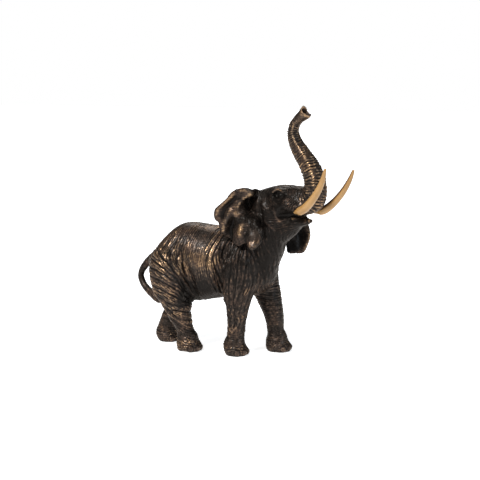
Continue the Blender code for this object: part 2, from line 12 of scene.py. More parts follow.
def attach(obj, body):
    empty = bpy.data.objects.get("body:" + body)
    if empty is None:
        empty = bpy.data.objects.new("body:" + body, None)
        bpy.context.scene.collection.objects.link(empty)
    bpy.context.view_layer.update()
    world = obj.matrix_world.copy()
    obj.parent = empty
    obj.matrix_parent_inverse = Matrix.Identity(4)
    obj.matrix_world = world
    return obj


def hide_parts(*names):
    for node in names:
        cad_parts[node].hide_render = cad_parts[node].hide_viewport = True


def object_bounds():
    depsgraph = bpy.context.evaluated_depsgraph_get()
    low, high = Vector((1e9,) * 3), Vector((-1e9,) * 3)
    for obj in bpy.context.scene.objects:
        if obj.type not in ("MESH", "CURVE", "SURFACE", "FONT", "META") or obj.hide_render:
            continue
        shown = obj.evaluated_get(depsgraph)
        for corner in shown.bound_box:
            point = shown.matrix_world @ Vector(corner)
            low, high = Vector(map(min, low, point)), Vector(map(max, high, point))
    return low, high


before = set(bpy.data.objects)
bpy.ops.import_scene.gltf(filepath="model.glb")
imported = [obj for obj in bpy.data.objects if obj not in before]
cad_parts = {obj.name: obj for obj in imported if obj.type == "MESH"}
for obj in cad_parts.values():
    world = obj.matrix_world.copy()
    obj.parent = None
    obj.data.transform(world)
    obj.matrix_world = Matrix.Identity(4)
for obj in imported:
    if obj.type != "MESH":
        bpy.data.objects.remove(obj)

CAD_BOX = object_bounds()
MM = 0.001
UP = np.array([0.0, 0.0, 1.0])
WALK = np.array([1.0, 0.0, 0.0])

# ---------------------------------------------------------------- sizes, in mm

# How finely the hide is modelled, and how often its facets, toes, trunk tip and normals are evened out.
SKIN_GRID = 0.74
SKIN_TRIANGLES = 196000
FACET_ROUNDS = 9
TOE_ROUNDS = 34
TIP_ROUNDS = 14
NORMAL_ROUNDS = 6
# How far inside the CAD's own box the hide stays.
BOX_MARGIN = 0.02
# How closely a middle line's stations follow each other.
STATION_STEP = 1.0

# The folds: their spacing against the drawn one, and the rounds in which they settle. The broad folds lie
# under the others.
PLEAT_SCALE = 0.85
PLEAT_ROUNDS = 150
BROAD_SCALE = 2.7
BROAD_DEPTH = 1.2
# What keeps one fold from being like the next: how long the waves of the noise are.
PATCH_LENGTH = 16
SPREAD_LENGTH = 11
UNEVEN_LENGTH = 5.5
WOBBLE_LENGTH = 9.0
SEEDS = {"patches": 41, "spread": 42, "uneven": 43, "pleats": 7, "broad": 17, "cells": 23, "sky_patina_and_shade": 5}
# The cells that the folds break into: the hide's area, seeds tried for each cell, and how near two may be.
HIDE_AREA = 90000
CELL_TRIES = 14
CELL_GAP = 0.8
# Rays that tell how open a place is, for the patina and the painted shade kept in closed-in places: the
# places they start from, how many leave each, and how far they go.
SKY_SPOTS = 7000
SKY_RAYS = 28
SKY_REACH = 55.0
SKY_BLUR = 3.2

# The body's middle plane, as its y.
MIDLINE = 8.5

# The head's own directions, and the point under it where they start.
HEAD_TURN = math.radians(-25.0)
HEAD_PIVOT = np.array([21.2, 6.5, 0.0])
HEAD_AHEAD = np.array([math.cos(HEAD_TURN), math.sin(HEAD_TURN), 0.0])
HEAD_LEFT = np.array([-math.sin(HEAD_TURN), math.cos(HEAD_TURN), -0.09])

# Middle lines: x, y, z, radius.
TRUNK = (
    (70.1, -16.3, 173.0, 14), (80.1, -21.0, 173.5, 14), (87.4, -24.4, 178.5, 13.5),
    (89.2, -25.2, 188.0, 13), (88.2, -24.7, 198.0, 12.3), (84.5, -23.0, 208.0, 11.3),
    (78.3, -20.1, 217.5, 10.5), (71.0, -16.7, 226.5, 9.5), (64.2, -13.6, 235.5, 8.3),
    (60.5, -11.8, 243.5, 7.2), (60.0, -11.6, 250.5, 6.5), (62.7, -12.9, 257.0, 6.3),
    (67.4, -15.1, 262.3, 6.3), (72.3, -17.3, 266.0, 7), (76.5, -19.3, 268.6, 8),
    (79.2, -20.5, 270.8, 8),
)
TAIL = (
    (-109.3, 8.0, 102.0, 5.4), (-115.8, 7.0, 96.7, 4.8), (-122.6, 5.5, 88.2, 4.2),
    (-126.0, 4.5, 80.0, 3.8), (-123.2, 3.0, 72.0, 3.9), (-117.4, 0.5, 65.8, 4.1),
    (-110.1, -3.0, 61.4, 4.5), (-102.8, -7.0, 58.0, 4.7), (-94.8, -11.0, 53.0, 3.6),
)
# Each ear as balls that cover it: x, y, z, radius. Its folds fan out from its root, which runs between
# two points.
RIGHT_EAR = (
    (10, -21, 183, 11), (-6, -28, 178, 12), (-14, -28, 166, 13), (-16, -28, 153, 13), (0, -25, 166, 12),
    (-6, -25, 146, 12), (-3, -27, 137, 10), (12, -31, 140, 11), (10, -32, 130, 9), (24, -36, 135, 11),
    (26, -36, 126, 9),
)
LEFT_EAR = (
    (41, 34, 176, 12), (40, 46, 168, 14), (42, 55, 157, 14), (44, 42, 157, 13), (52, 52, 143, 14),
    (50, 38, 146, 12), (58, 47, 131, 13), (53, 38, 129, 12), (52, 40, 115, 12), (46, 32, 122, 10),
)
EAR_ROOTS = {"right": ((21, -13, 183), (31, -24, 144)), "left": ((36, 18, 180), (42, 18, 141))}

# How far ahead each hind leg's middle is at heights from the foot to the hip. Both share one drawing of
# their folds.
HIND_HEIGHTS = (11, 21, 32, 44, 56, 70, 87, 104, 125)
RIGHT_HIND_LINE = (-64.3, -65.3, -67.8, -71.8, -74.3, -77.3, -79.3, -80.8, -81.0)
LEFT_HIND_LINE = (-102.8, -101.0, -98.0, -94.0, -90.8, -88.7, -87.6, -86.0, -81.0)

# Each foot: x and y of its middle, and how many degrees it points outwards.
FEET = ((-5.5, -8.5, -8), (33.7, 24.5, 6), (-61.1, -8.5, -6), (-102.3, 26.5, 8))
# How far a foot's rim is from its middle, ahead and sideways.
FOOT_REACH = (14.5, 14.0)
# The feet and their rounded toes fade out between two heights, the upper one first.
FOOT_TOP = (14, 9)
TOE_TOP = (15, 9)
# The toenails of a foot: how many, the degrees they spread over, the middle's height, and the radii.
NAILS = 4
NAIL_SPREAD = 112
NAIL_HEIGHT = 3.9
NAIL_RADII = (3.0, 3.3)

# Strokes on both sides of the head, with paths of points ahead and up: width, height, shade, path. A stroke
# with a shade above 0 is painted darker than the hide around it, as painted shade in the eye, its creases
# and the mouth, and one below 0 is painted brighter, as a painted highlight on the lid, the cheeks and the
# lower lip.
HEAD_TOUCHES = (
    (2.9, -1.6, 1.1, ((32, 179.6), (37, 180.6), (42.2, 180.2))),
    (1.6, 1.3, 0.3, ((36.4, 180.0), (38.4, 179.9))),
    (1.1, 1.5, -0.8, ((30.0, 182.0), (31.6, 184.4), (34.6, 185.6), (38.8, 185.0), (42.6, 182.8))),
    (1.0, -0.9, 0.6, ((30.5, 187.4), (35.0, 189.0), (41.0, 187.6))),
    (1.1, 0.6, 0.35, ((31.5, 176.6), (35.0, 175.3), (39.5, 175.4), (43.0, 177.2))),
    (1.0, -0.8, 0.4, ((30.0, 175.4), (35.0, 173.4), (41.0, 173.6))),
    (1.8, 0.6, -0.6, ((34.0, 164.0), (37.0, 158.0), (38.0, 152.0))),
    (1.6, 0.6, -0.5, ((24.0, 150.5), (28.0, 147.0), (31.0, 142.0))),
    (2.5, -1.3, 1.4, ((39.0, 157.4), (48.0, 159.8), (56.0, 160.8), (65.0, 161.2))),
    (1.7, 0.8, -1.6, ((50.0, 155.8), (56.0, 156.7), (62.0, 156.8), (68.0, 156.6))),
)
# The rim of the trunk's open end: ahead, left, up, radius.
TRUNK_MOUTH = (64.0, 0.0, 270.5, 7.0)
# The nostrils inside it, as one ball of painted shade with the same measures.
NOSTRILS = (60.5, 0, 268.5, 4.6)
# The trunk's tip fades out between two distances from that rim's middle, the further one first.
TIP_REACH = (13, 9)
# The ridges along the trunk: how high, how far round from the underside, and how wide, in radians.
SEAM_HEIGHT = 0.7
SEAM_TURN = 0.95
SEAM_WIDTH = 0.22
# Painted shade and painted highlights on the front of the ears: which ear, width, shade, and a path of
# points ahead, left and up. A shade above 0 paints shade in the hollows and the gaps between the lobes, and
# one below 0 paints a highlight on the rims, crests and lobes.
EAR_TOUCHES = (
    ("right", 3.2, -1.0,
     ((10, -27, 179), (5, -38, 183), (-1, -45, 178), (-11, -49, 166), (-18, -52, 159), (-20, -53, 149))),
    ("right", 3.0, -1.05,
     ((8, -26, 177), (7, -32, 175), (3, -38, 170), (1, -40, 165), (0, -42, 160), (1, -41, 152))),
    ("right", 5.5, 2.0, ((8, -16, 178), (-2, -20, 173), (-2, -22, 166), (4, -22, 160))),
    ("right", 2.6, 1.3, ((-3, -39, 175), (-8, -41, 170), (-15, -43, 161), (-17, -45, 152))),
    ("right", 2.8, -1.05, ((-6, -45, 160), (-9, -47, 151), (-14, -48, 143), (-15, -46, 136))),
    ("right", 3.2, 1.3, ((-7, -36, 152), (-11, -36, 147), (-13, -36, 138), (-11, -36, 130))),
    ("right", 5.0, -1.2, ((6, -38, 150), (4, -40, 144), (5, -43, 137))),
    ("right", 4.0, -0.8, ((19, -33, 142), (23, -35, 136), (22, -38, 128))),
    ("right", 2.4, 1.3, ((10, -33, 140), (11, -37, 133), (11, -37, 128))),
    ("right", 2.6, -1.0,
     ((17, -30, 153), (27, -32, 144), (31, -33, 141), (31, -39, 130), (24, -42, 122), (19, -43, 125))),
    ("left", 3.0, -1.0, ((0, 59, 162), (16, 56, 148), (22, 52, 135), (22, 47, 121), (18, 41, 113))),
    ("left", 11.0, 1.6, ((-3, 41, 158), (6, 38, 145), (8, 40, 136), (10, 37, 126))),
)

# Folds of the hide: which side they are on, spacing, length over spacing, depth, reach, and a path of
# x and z.
BODY_FOLDS = (
    ("both", 4.6, 8, 0.85, 8, ((-97, 117), (-87, 111), (-76, 103), (-69, 94), (-60, 80), (-58, 68))),
    ("both", 4.8, 8, 0.9, 8, ((-99, 104), (-84, 99), (-75, 94), (-66, 86), (-59, 73))),
    ("both", 4.6, 7, 0.8, 8, ((-98, 95), (-82, 92), (-73, 86), (-65, 81), (-59, 69))),
    ("both", 4.2, 6, 0.75, 8, ((-92, 84), (-79, 81), (-69, 76), (-62, 69), (-59, 61))),
    ("both", 3.8, 5, 0.65, 8, ((-90, 73), (-76, 69), (-67, 65), (-60, 58))),
    ("both", 3.4, 5, 0.6, 8, ((-86, 61), (-76, 55), (-66, 54), (-57, 54))),
    ("both", 3.2, 5, 0.55, 8, ((-80, 54), (-72, 48), (-63, 46), (-58, 45))),
    ("both", 3.0, 5, 0.5, 8, ((-77, 46), (-70, 38), (-63, 36), (-58, 35))),
    ("both", 2.8, 5, 0.45, 7, ((-74, 34), (-66, 28), (-59, 23), (-55, 22))),
    ("both", 2.6, 4, 0.4, 7, ((-72, 22), (-63, 17), (-54, 14))),
    ("both", 3.2, 7, 0.4, 9, ((-78, 137), (-82, 127), (-86, 116))),
    ("both", 3.2, 7, 0.4, 9, ((-67, 138), (-71, 129), (-75, 119))),
    ("both", 4.4, 9, 0.8, 6, ((-72, 124), (-75, 111), (-71, 100), (-65, 87), (-58, 71), (-56, 62))),
    ("both", 3.6, 9, 0.6, 7, ((-62, 123), (-68, 109), (-66, 98), (-60, 87), (-54, 74))),
    ("both", 2.7, 8, 0.34, 10, ((-57, 139), (-61, 128), (-64, 117), (-63, 105))),
    ("both", 2.7, 8, 0.36, 10, ((-46, 139), (-50, 127), (-53, 115), (-53, 101))),
    ("both", 2.7, 8, 0.36, 10, ((-34, 139), (-37, 128), (-41, 116), (-42, 106), (-41, 93))),
    ("both", 2.9, 8, 0.42, 10, ((-20, 138), (-27, 122), (-32, 109), (-31, 95))),
    ("both", 3.0, 4, 0.36, 10, ((-60, 96), (-57, 84), (-52, 71), (-50, 58))),
    ("both", 3.0, 3, 0.34, 10, ((-42, 92), (-41, 80), (-40, 66), (-38, 56))),
    ("both", 3.2, 5, 0.42, 10, ((-30, 96), (-26, 84), (-23, 70), (-24, 58))),
    ("both", 4.2, 9, 0.85, 8, ((-17, 134), (-22, 122), (-25, 112), (-22, 101), (-18, 85), (-16, 72))),
    ("both", 4.2, 9, 0.8, 8, ((-8, 134), (-14, 122), (-16, 112), (-11, 101), (-8, 88), (-8, 76))),
    ("both", 4.4, 8, 0.7, 8, ((-2, 126), (-3, 112), (-2, 98), (-5, 80), (-6, 66))),
    ("both", 4.6, 8, 0.7, 8, ((8, 122), (6, 110), (5, 95), (1, 77), (-1, 64))),
    ("right", 4.2, 7, 0.65, 7, ((-5, 72), (-6, 62), (-6, 45), (-10, 29))),
    ("right", 4.2, 7, 0.65, 7, ((1, 74), (-2, 62), (-1, 50), (-3, 38))),
    ("right", 4.4, 7, 0.65, 7, ((14, 104), (12, 90), (7, 74), (3, 60))),
    ("right", 4.0, 7, 0.6, 7, ((18, 97), (19, 87), (16, 76), (11, 63), (7, 51), (7, 41), (4, 31))),
    ("right", 3.4, 5, 0.55, 5, ((-5, 54), (1, 46), (8, 45))),
    ("right", 3.0, 5, 0.5, 5, ((-8, 30), (0, 26), (7, 30))),
    ("right", 2.6, 5, 0.4, 5, ((-14, 20), (-4, 18), (6, 20))),
    ("left", 3.2, 7, 0.55, 8, ((10, 92), (22, 86), (32, 84))),
    ("left", 2.9, 8, 0.5, 8, ((10, 78), (22, 72), (34, 74))),
    ("left", 2.6, 8, 0.5, 8, ((12, 62), (24, 58), (36, 61))),
    ("left", 2.4, 8, 0.48, 8, ((14, 49), (26, 46), (38, 48))),
    ("left", 2.3, 8, 0.45, 8, ((16, 36), (30, 34), (42, 37))),
    ("left", 2.3, 7, 0.4, 8, ((18, 24), (31, 22), (44, 25))),
    ("both", 4.2, 7, 0.6, 8, ((18, 124), (23, 113), (26, 102), (28, 89))),
    ("both", 4.0, 7, 0.55, 8, ((26, 132), (32, 122), (36, 111), (35, 97))),
    ("both", 3.8, 8, 0.5, 9, ((40, 132), (44, 120), (43, 107), (37, 90), (34, 76))),
    ("both", 3.6, 8, 0.5, 8, ((27, 150), (29, 138), (28, 124), (30, 112))),
    ("both", 3.6, 8, 0.5, 8, ((38, 150), (39, 138), (40, 126), (41, 114))),
    ("both", 3.4, 8, 0.45, 8, ((56, 148), (52, 138), (48, 128), (46, 116))),
    ("both", 3.0, 6, 0.4, 10, ((-6, 140), (-2, 150), (4, 160), (10, 172))),
    ("both", 2.6, 8, 0.3, 10, ((-95, 126), (-104, 116), (-110, 104))),
    ("both", 3.4, 5, 0.5, 8, ((-108, 100), (-104, 86), (-100, 70))),
)
# The same on the head, with paths of points ahead and up in its own directions.
HEAD_FOLDS = (
    ("both", 2.6, 5, 0.3, 8, ((12, 184), (16, 176), (18, 166), (20, 154))),
    ("both", 2.4, 4, 0.26, 7, ((22, 188), (24, 180), (28, 172), (34, 168))),
    ("both", 2.0, 4, 0.26, 4, ((30, 180), (33, 186), (39, 188), (45, 185), (47, 180))),
    ("both", 2.2, 4, 0.3, 5, ((32, 176), (37, 173.5), (43, 174), (47, 178))),
    ("both", 2.6, 5, 0.34, 6, ((28, 168), (36, 167), (44, 170), (52, 174))),
    ("both", 2.8, 5, 0.4, 6, ((26, 160), (34, 158), (44, 163), (54, 167))),
    ("both", 2.8, 5, 0.4, 7, ((22, 150), (28, 152), (36, 152), (44, 156))),
    ("both", 3.0, 6, 0.4, 7, ((18, 146), (26, 144), (36, 145), (46, 149), (58, 151))),
    ("both", 3.6, 8, 0.55, 6, ((53, 192), (55, 184), (55, 176), (52, 168))),
    ("both", 3.8, 8, 0.6, 6, ((60, 192), (62, 184), (62, 176), (60, 168))),
    ("both", 2.6, 5, 0.3, 7, ((40, 192), (44, 187), (47, 182))),
)
# Folds that follow a part instead of a drawing: spacing, length over spacing, depth.
BODY_GRAIN = (3.2, 4, 0.4)
FOOT_GRAIN = (2.8, 1.3, 0.66)
HEAD_GRAIN = (2.6, 4, 0.3)
EAR_GRAIN = (2.8, 5, 0.17)
TAIL_GRAIN = (1.8, 6, 0.25)
# The trunk's rings: shares of the way from its root to its tip, and the spacing or the depth there.
RING_SPACING = ((0, 0.3, 0.6, 1), (4.2, 4.0, 3.1, 2.1))
RING_DEPTH = ((0, 0.35, 0.7, 1), (0.8, 0.74, 0.48, 0.28))
RING_STRETCH = 8

# Where the patina is rubbed off most, which on the flank also paints in a highlight: x and z of the middle,
# the reach in both, and how much.
RUBBED = ((-38, 106, 24, 15, 0.75), (-84, 118, 20, 20, 0.3))

# ---------------------------------------------------------------- colours and the studio
# Colours are linear red, green and blue.
BLACK = (0.0040, 0.0031, 0.0027, 1)
DARK_UMBER = (0.082, 0.061, 0.049, 1)
LIGHT_UMBER = (0.110, 0.070, 0.051, 1)
GOLD = (0.46, 0.29, 0.15, 1)
NAIL_BROWN = (0.07, 0.048, 0.038, 1)
# Painted shade, for the places shaded most.
DEEP_SHADE = (0.003, 0.0026, 0.0026, 1)
DARK_IVORY = (0.285, 0.150, 0.045, 1)
LIGHT_IVORY = (0.36, 0.2, 0.066, 1)
IVORY_STAIN = (0.08, 0.04, 0.02, 1)
DARK_PAPER = (0.7, 0.7, 0.7, 1)
LIGHT_PAPER = (0.74, 0.74, 0.74, 1)
WHITE = (1, 1, 1, 1)
# How much the folds' height, broad patches and fine grit each add to the wear.
RELIEF_SHARE = 0.82
PATCH_SHARE = 1.8
GRIT_SHARE = 2.7

# The lights: name, the direction each comes from, strength, how wide it looks in degrees, and colour.
LAMPS = (
    ("key", (-0.28, -0.62, 0.74), 4.2, 20, (1, 1, 1)),
    ("rim", (-0.3, 0.72, 0.75), 0.9, 20, (1, 1, 1)),
    ("side", (0.9, -0.2, 0.45), 1.2, 30, (0.74, 0.87, 1.0)),
)
# How strongly the room lights the pieces, and how strongly the floor glows.
ROOM_LIGHT = 0.12
FLOOR_GLOW = 0.72
# In metres: the floor's size and how far it is under the soles, and the camera's aim and distance.
FLOOR_SIZE = 6.0
FLOOR_DROP = 0.0002
CAMERA_AIM = (-0.0097, 0.0173, 0.124)
CAMERA_DISTANCE = 1.2637
# In degrees, round from the elephant's right side and up.
CAMERA_AZIMUTH = 20
CAMERA_ELEVATION = 9
# In mm, as on a lens.
FOCAL_LENGTH = 85
SENSOR_WIDTH = 36


def waves(points, length, seed, count=9):
    """Smooth noise about as long as length, mostly between -1.5 and 1.5."""
    rng = np.random.default_rng(seed)
    total = np.zeros(len(points))
    for _ in range(count):
        direction = rng.normal(size=3)
        direction /= np.linalg.norm(direction)
        pace = 2 * math.pi / (length * rng.uniform(0.8, 1.6))
        total += np.cos(points @ direction * pace + rng.uniform(0, 7))
    return total / math.sqrt(count)


def rise(values, low, high):
    """0 below low, 1 above high, and smooth between them. It falls if low is above high."""
    share = np.clip((values - low) / (high - low), 0, 1)
    return share * share * (3 - 2 * share)


def unit(vectors):
    return vectors / np.maximum(np.linalg.norm(vectors, axis=-1, keepdims=True), 1e-9)


def flat_on(vectors, normals):
    """The vectors with what stands off the surface taken out."""
    return vectors - (vectors * normals).sum(-1, keepdims=True) * normals


def points_of(mesh):
    """A mesh's vertices, in mm."""
    flat = np.empty(len(mesh.vertices) * 3)
    mesh.vertices.foreach_get("co", flat)
    return flat.reshape(-1, 3) / MM


def normals_of(mesh):
    flat = np.empty(len(mesh.vertices) * 3)
    mesh.vertex_normals.foreach_get("vector", flat)
    return unit(flat.reshape(-1, 3))


def set_points(mesh, points):
    """The mesh's vertices moved to points in mm."""
    mesh.vertices.foreach_set("co", (points * MM).ravel())
    mesh.update()


class Net:
    """Which vertices of a mesh are joined, for averaging over neighbours."""

    def __init__(self, mesh):
        pairs = np.empty(len(mesh.edges) * 2, dtype=np.int64)
        mesh.edges.foreach_get("vertices", pairs)
        pairs = pairs.reshape(-1, 2)
        both = np.concatenate((pairs, pairs[:, ::-1]))
        both = both[np.argsort(both[:, 0], kind="stable")]
        self.of, self.to = both[:, 0], both[:, 1]
        self.count = np.bincount(both[:, 0], minlength=len(mesh.vertices))
        self.starts = np.concatenate(([0], np.cumsum(self.count)[:-1]))

    def mean(self, values):
        """The mean of each vertex's neighbours."""
        total = np.add.reduceat(values[self.to], self.starts, axis=0)
        return total / (self.count if values.ndim == 1 else self.count[:, None])

    def soften(self, values, rounds):
        for _ in range(rounds):
            values = values + 0.7 * (self.mean(values) - values)
        return values

    def fair(self, points, rounds):
        """Taubin's smoothing, which wears down facets and keeps the volume."""
        for _ in range(rounds):
            points = points + 0.6 * (self.mean(points) - points)
            points = points - 0.62 * (self.mean(points) - points)
        return points


def baked(name, source, *modifiers):
    """A new object from a mesh with modifiers applied to it."""
    thing = bpy.data.objects.new(name, source)
    bpy.context.scene.collection.objects.link(thing)
    for kind, settings in modifiers:
        modifier = thing.modifiers.new(kind.lower(), kind)
        for key, value in settings.items():
            setattr(modifier, key, value)
    graph = bpy.context.evaluated_depsgraph_get()
    result = bpy.data.meshes.new_from_object(thing.evaluated_get(graph))
    result.name = name
    thing.modifiers.clear()
    thing.data = result
    return thing


def welded(node):
    """A copy of a CAD node's mesh, with the vertices that its facets split joined up again."""
    shape = bmesh.new()
    shape.from_mesh(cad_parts[node].data)
    bmesh.ops.remove_doubles(shape, verts=shape.verts, dist=0.01 * MM)
    mesh = bpy.data.meshes.new(node + "_copy")
    shape.to_mesh(mesh)
    shape.free()
    mesh.materials.clear()
    return mesh


def dense(line):
    """A middle line's stations, closely spaced, and the direction it runs in at each."""
    line = np.array(line, float)
    gaps = np.linalg.norm(np.diff(line[:, :3], axis=0), axis=1)
    places = np.concatenate(([0], np.cumsum(gaps)))
    at = np.arange(0, places[-1], STATION_STEP)
    stations = np.stack([np.interp(at, places, column) for column in line.T], axis=1)
    return stations, unit(np.gradient(stations[:, :3], axis=0))


def nearest(points, stations):
    """For each point, which station is nearest and how far it is, as a share of the radius there."""
    which = np.empty(len(points), dtype=int)
    for start in range(0, len(points), 20000):
        part = points[start:start + 20000]
        gap = ((part[:, None] - stations[None, :, :3]) ** 2).sum(-1)
        which[start:start + 20000] = gap.argmin(1)
    reach = np.linalg.norm(points - stations[which, :3], axis=1)
    return which, reach / stations[which, 3]


def covered(points, balls):
    """How deep points are in the nearest of some balls: 0 at a middle, 1 at a surface."""
    share = np.full(len(points), np.inf)
    for x, y, z, radius in balls:
        share = np.minimum(share, np.linalg.norm(points - (x, y, z), axis=1) / radius)
    return share


def head_places(points):
    """Points as ahead, left and up in the head's own directions."""
    axes = np.stack((HEAD_AHEAD, HEAD_LEFT, UP), axis=1)
    return (points - HEAD_PIVOT) @ np.linalg.inv(axes).T


class Grain:
    """The way the folds run at every vertex, and how far apart, how long and how deep they are."""

    def __init__(self, normals):
        self.normals = normals
        helper = np.where(np.abs(normals[:, 2:]) > 0.9, WALK, UP)
        self.first = unit(np.cross(helper, normals))
        self.second = np.cross(normals, self.first)
        self.turn = np.zeros((len(normals), 2))
        self.sums = np.zeros((len(normals), 4))
        self.drawn = []

    def add(self, weight, direction, spacing, stretch, depth, rows=slice(None)):
        """Folds along a direction, with a weight at each vertex or at each of some rows."""
        x = (direction * self.first[rows]).sum(1)
        y = (direction * self.second[rows]).sum(1)
        length = x * x + y * y + 1e-9
        sure = weight * np.minimum(1, length * 1.5)
        self.turn[rows] += sure[:, None] * np.stack(((x * x - y * y) / length, 2 * x * y / length), axis=1)
        parts = np.broadcast_arrays(spacing, stretch, depth, np.ones(len(x)))
        self.sums[rows] += weight[:, None] * np.stack(parts, axis=1)

    def draw(self, mask, across, up, side, places, folds):
        """Folds drawn from the side. across and up are what the paths' two directions are on the surface."""
        picked = np.flatnonzero(mask > 0.01)
        for which, spacing, stretch, depth, reach, path in folds:
            path = np.array(path, float)
            gaps = np.linalg.norm(np.diff(path, axis=0), axis=1)
            at = np.concatenate(([0], np.cumsum(gaps)))
            steps = np.linspace(0, at[-1], max(3, int(at[-1] / 4)))
            line = np.stack([np.interp(steps, at, column) for column in path.T], axis=1)
            heading = unit(np.gradient(line, axis=0))
            rows = picked if which == "both" else picked[side[picked] == (-1 if which == "right" else 1)]
            low, high = path.min(0) - 3 * reach, path.max(0) + 3 * reach
            rows = rows[((places[rows] > low) & (places[rows] < high)).all(1)]
            gap = ((places[rows, None] - line[None]) ** 2).sum(-1)
            close = np.exp(-gap / (2 * reach * reach))
            weight = close.max(1) * mask[rows]
            way = close @ heading / (close.sum(1)[:, None] + 1e-9)
            direction = way[:, :1] * across[rows] + way[:, 1:] * up[rows]
            self.add(weight, direction, spacing, stretch, depth, rows)
            near = close.argmax(1)
            step = places[rows] - line[near]
            aside = np.stack((-heading[near, 1], heading[near, 0]), axis=1)
            towards = aside[:, :1] * across[rows] + aside[:, 1:] * up[rows]
            self.drawn.append((rows, weight, (step * aside).sum(1), towards))

    def settle(self):
        """The folds' final direction, spacing, stretch and depth at every vertex."""
        angle = 0.5 * np.arctan2(self.turn[:, 1], self.turn[:, 0])
        self.along = np.cos(angle)[:, None] * self.first + np.sin(angle)[:, None] * self.second
        total = self.sums[:, 3] + 1e-9
        self.spacing, self.stretch, self.depth = (self.sums[:, k] / total for k in range(3))


def wrapped(normals, ahead, up, side):
    """What a drawing's ahead and up are on a rounded form: they run round a limb, and over a back."""
    sign = -side[:, None]
    around = sign * unit(np.cross(up, normals))
    along_limb = unit(flat_on(np.broadcast_to(up, normals.shape), normals))
    along_back = unit(flat_on(np.broadcast_to(ahead, normals.shape), normals))
    over = -sign * unit(np.cross(ahead, normals))
    lying = rise(np.abs(normals @ up), 0.45, 0.8)[:, None]
    return unit(around * (1 - lying) + along_back * lying), unit(along_limb * (1 - lying) + over * lying)


def blocks(points, others, size, reach_of):
    """Cubes of space: which points are in each, and which others are within reach of it."""
    # Each cube's number keeps its three counts apart, as none of them is below -1000 or above 3000.
    keys = np.floor(points / size).astype(np.int64) + 1000
    code = (keys[:, 0] * 4096 + keys[:, 1]) * 4096 + keys[:, 2]
    order = np.argsort(code, kind="stable")
    cuts = np.flatnonzero(np.diff(code[order])) + 1
    for rows in np.split(order, cuts):
        reach = reach_of(rows)
        low, high = points[rows].min(0) - reach, points[rows].max(0) + reach
        near = np.flatnonzero(((others > low) & (others < high)).all(1))
        yield rows, near


def gaps_between(points, metric, rows, others):
    """Distances from some points to others, as each point's own stretched ruler measures them."""
    middle = points[rows].mean(0)
    rulers = metric[rows].astype(np.float32)
    own = np.einsum("njk,nk->nj", rulers, (points[rows] - middle).astype(np.float32))
    away = rulers.reshape(-1, 3) @ (others - middle).T.astype(np.float32)
    away = away.reshape(len(rows), 3, -1) - own[:, :, None]
    away *= away
    return np.sqrt(away[:, 0] + away[:, 1] + away[:, 2])


def sown(points, metric, length, count, seed):
    """Points picked at random, none within CELL_GAP of another by the stretched ruler."""
    rng = np.random.default_rng(seed)
    picked = rng.permutation(len(points))[:count]
    spots, rulers, reach = points[picked], metric[picked], length[picked]
    first, second = [], []
    for rows, near in blocks(spots, spots, 10.0, lambda rows: CELL_GAP * reach[rows].max()):
        gap = gaps_between(spots, rulers, rows, spots[near])
        a, b = np.nonzero(gap < CELL_GAP)
        first.append(rows[a])
        second.append(near[b])
    first, second = np.concatenate(first), np.concatenate(second)
    order = np.argsort(first, kind="stable")
    first, second = first[order], second[order]
    starts = np.searchsorted(first, np.arange(count + 1))
    free = np.ones(count, dtype=bool)
    for k in range(count):
        if free[k]:
            rivals = second[starts[k]:starts[k + 1]]
            free[rivals[rivals != k]] = False
    return spots[free]


def cells(points, grain, spacing, stretch, seed):
    """Long cells along the folds: 0 at the crease between two cells, rising towards the middle of each."""
    across = np.cross(grain.normals, grain.along)
    length = spacing * stretch
    metric = np.stack((
        grain.along / length[:, None], across / spacing[:, None], grain.normals / spacing[:, None]), axis=1)
    cell_area = float((spacing * length).mean())
    count = min(len(points), int(HIDE_AREA / cell_area * CELL_TRIES) + 4000)
    seeds = sown(points, metric, length, count, seed)
    shift = np.stack([waves(points, WOBBLE_LENGTH, seed + k, 6) for k in range(3)], axis=1)
    moved = points + flat_on(shift, grain.normals) * (0.5 * spacing)[:, None]
    edge = np.ones(len(points))
    for rows, near in blocks(moved, seeds, 8.0, lambda rows: 1.35 * length[rows].max()):
        if len(near) > 1:
            gap = gaps_between(moved, metric, rows, seeds[near])
            two = np.partition(gap, 1, axis=1)[:, :2]
            edge[rows] = two[:, 1] - two[:, 0]
    return edge


def pleats(points, grain, net, spacing, seed):
    """Folds of even spacing that follow the drawn ones, join and part.

    Each vertex gets its place between two creases, as a complex number of length 1 that is 1 in a crease
    and -1 on a ridge, and how well its neighbours agree with it.
    """
    rng = np.random.default_rng(seed)
    across = np.cross(grain.normals, grain.along)
    fold = 0.35 * np.exp(1j * rng.uniform(0, 2 * math.pi, len(points)))
    for rows, weight, offset, towards in grain.drawn:
        sign = np.sign((towards * across[rows]).sum(1))
        fold[rows] += weight**3 * 8 * np.exp(2j * math.pi * sign * offset / spacing[rows])
    fold = (fold / np.abs(fold)).astype(np.complex64)
    wave = across * (2 * math.pi / spacing)[:, None]
    same = np.sign((across[net.of] * across[net.to]).sum(1))
    step = points[net.to] - points[net.of]
    turn = 0.5 * ((wave[net.of] + same[:, None] * wave[net.to]) * step).sum(1)
    back = np.exp(-1j * turn).astype(np.complex64)
    flipped = same < 0
    for _ in range(PLEAT_ROUNDS):
        carried = fold[net.to]
        carried = np.where(flipped, carried.conj(), carried) * back
        fresh = np.add.reduceat(carried, net.starts) / net.count + 0.4 * fold
        agree = np.abs(fresh) / 1.4
        fold = fresh / (np.abs(fresh) + 1e-6)
    return fold, agree


def ridges(points, grain, net, spacing, power, seed):
    """How high the pleats stand: about 0.4 on a ridge, -0.6 in a crease, and 0 where neighbours disagree."""
    fold, agree = pleats(points, grain, net, spacing, seed)
    return (np.abs(np.sin(np.angle(fold) / 2)) ** power - 0.6) * rise(agree, 0.5, 0.9)


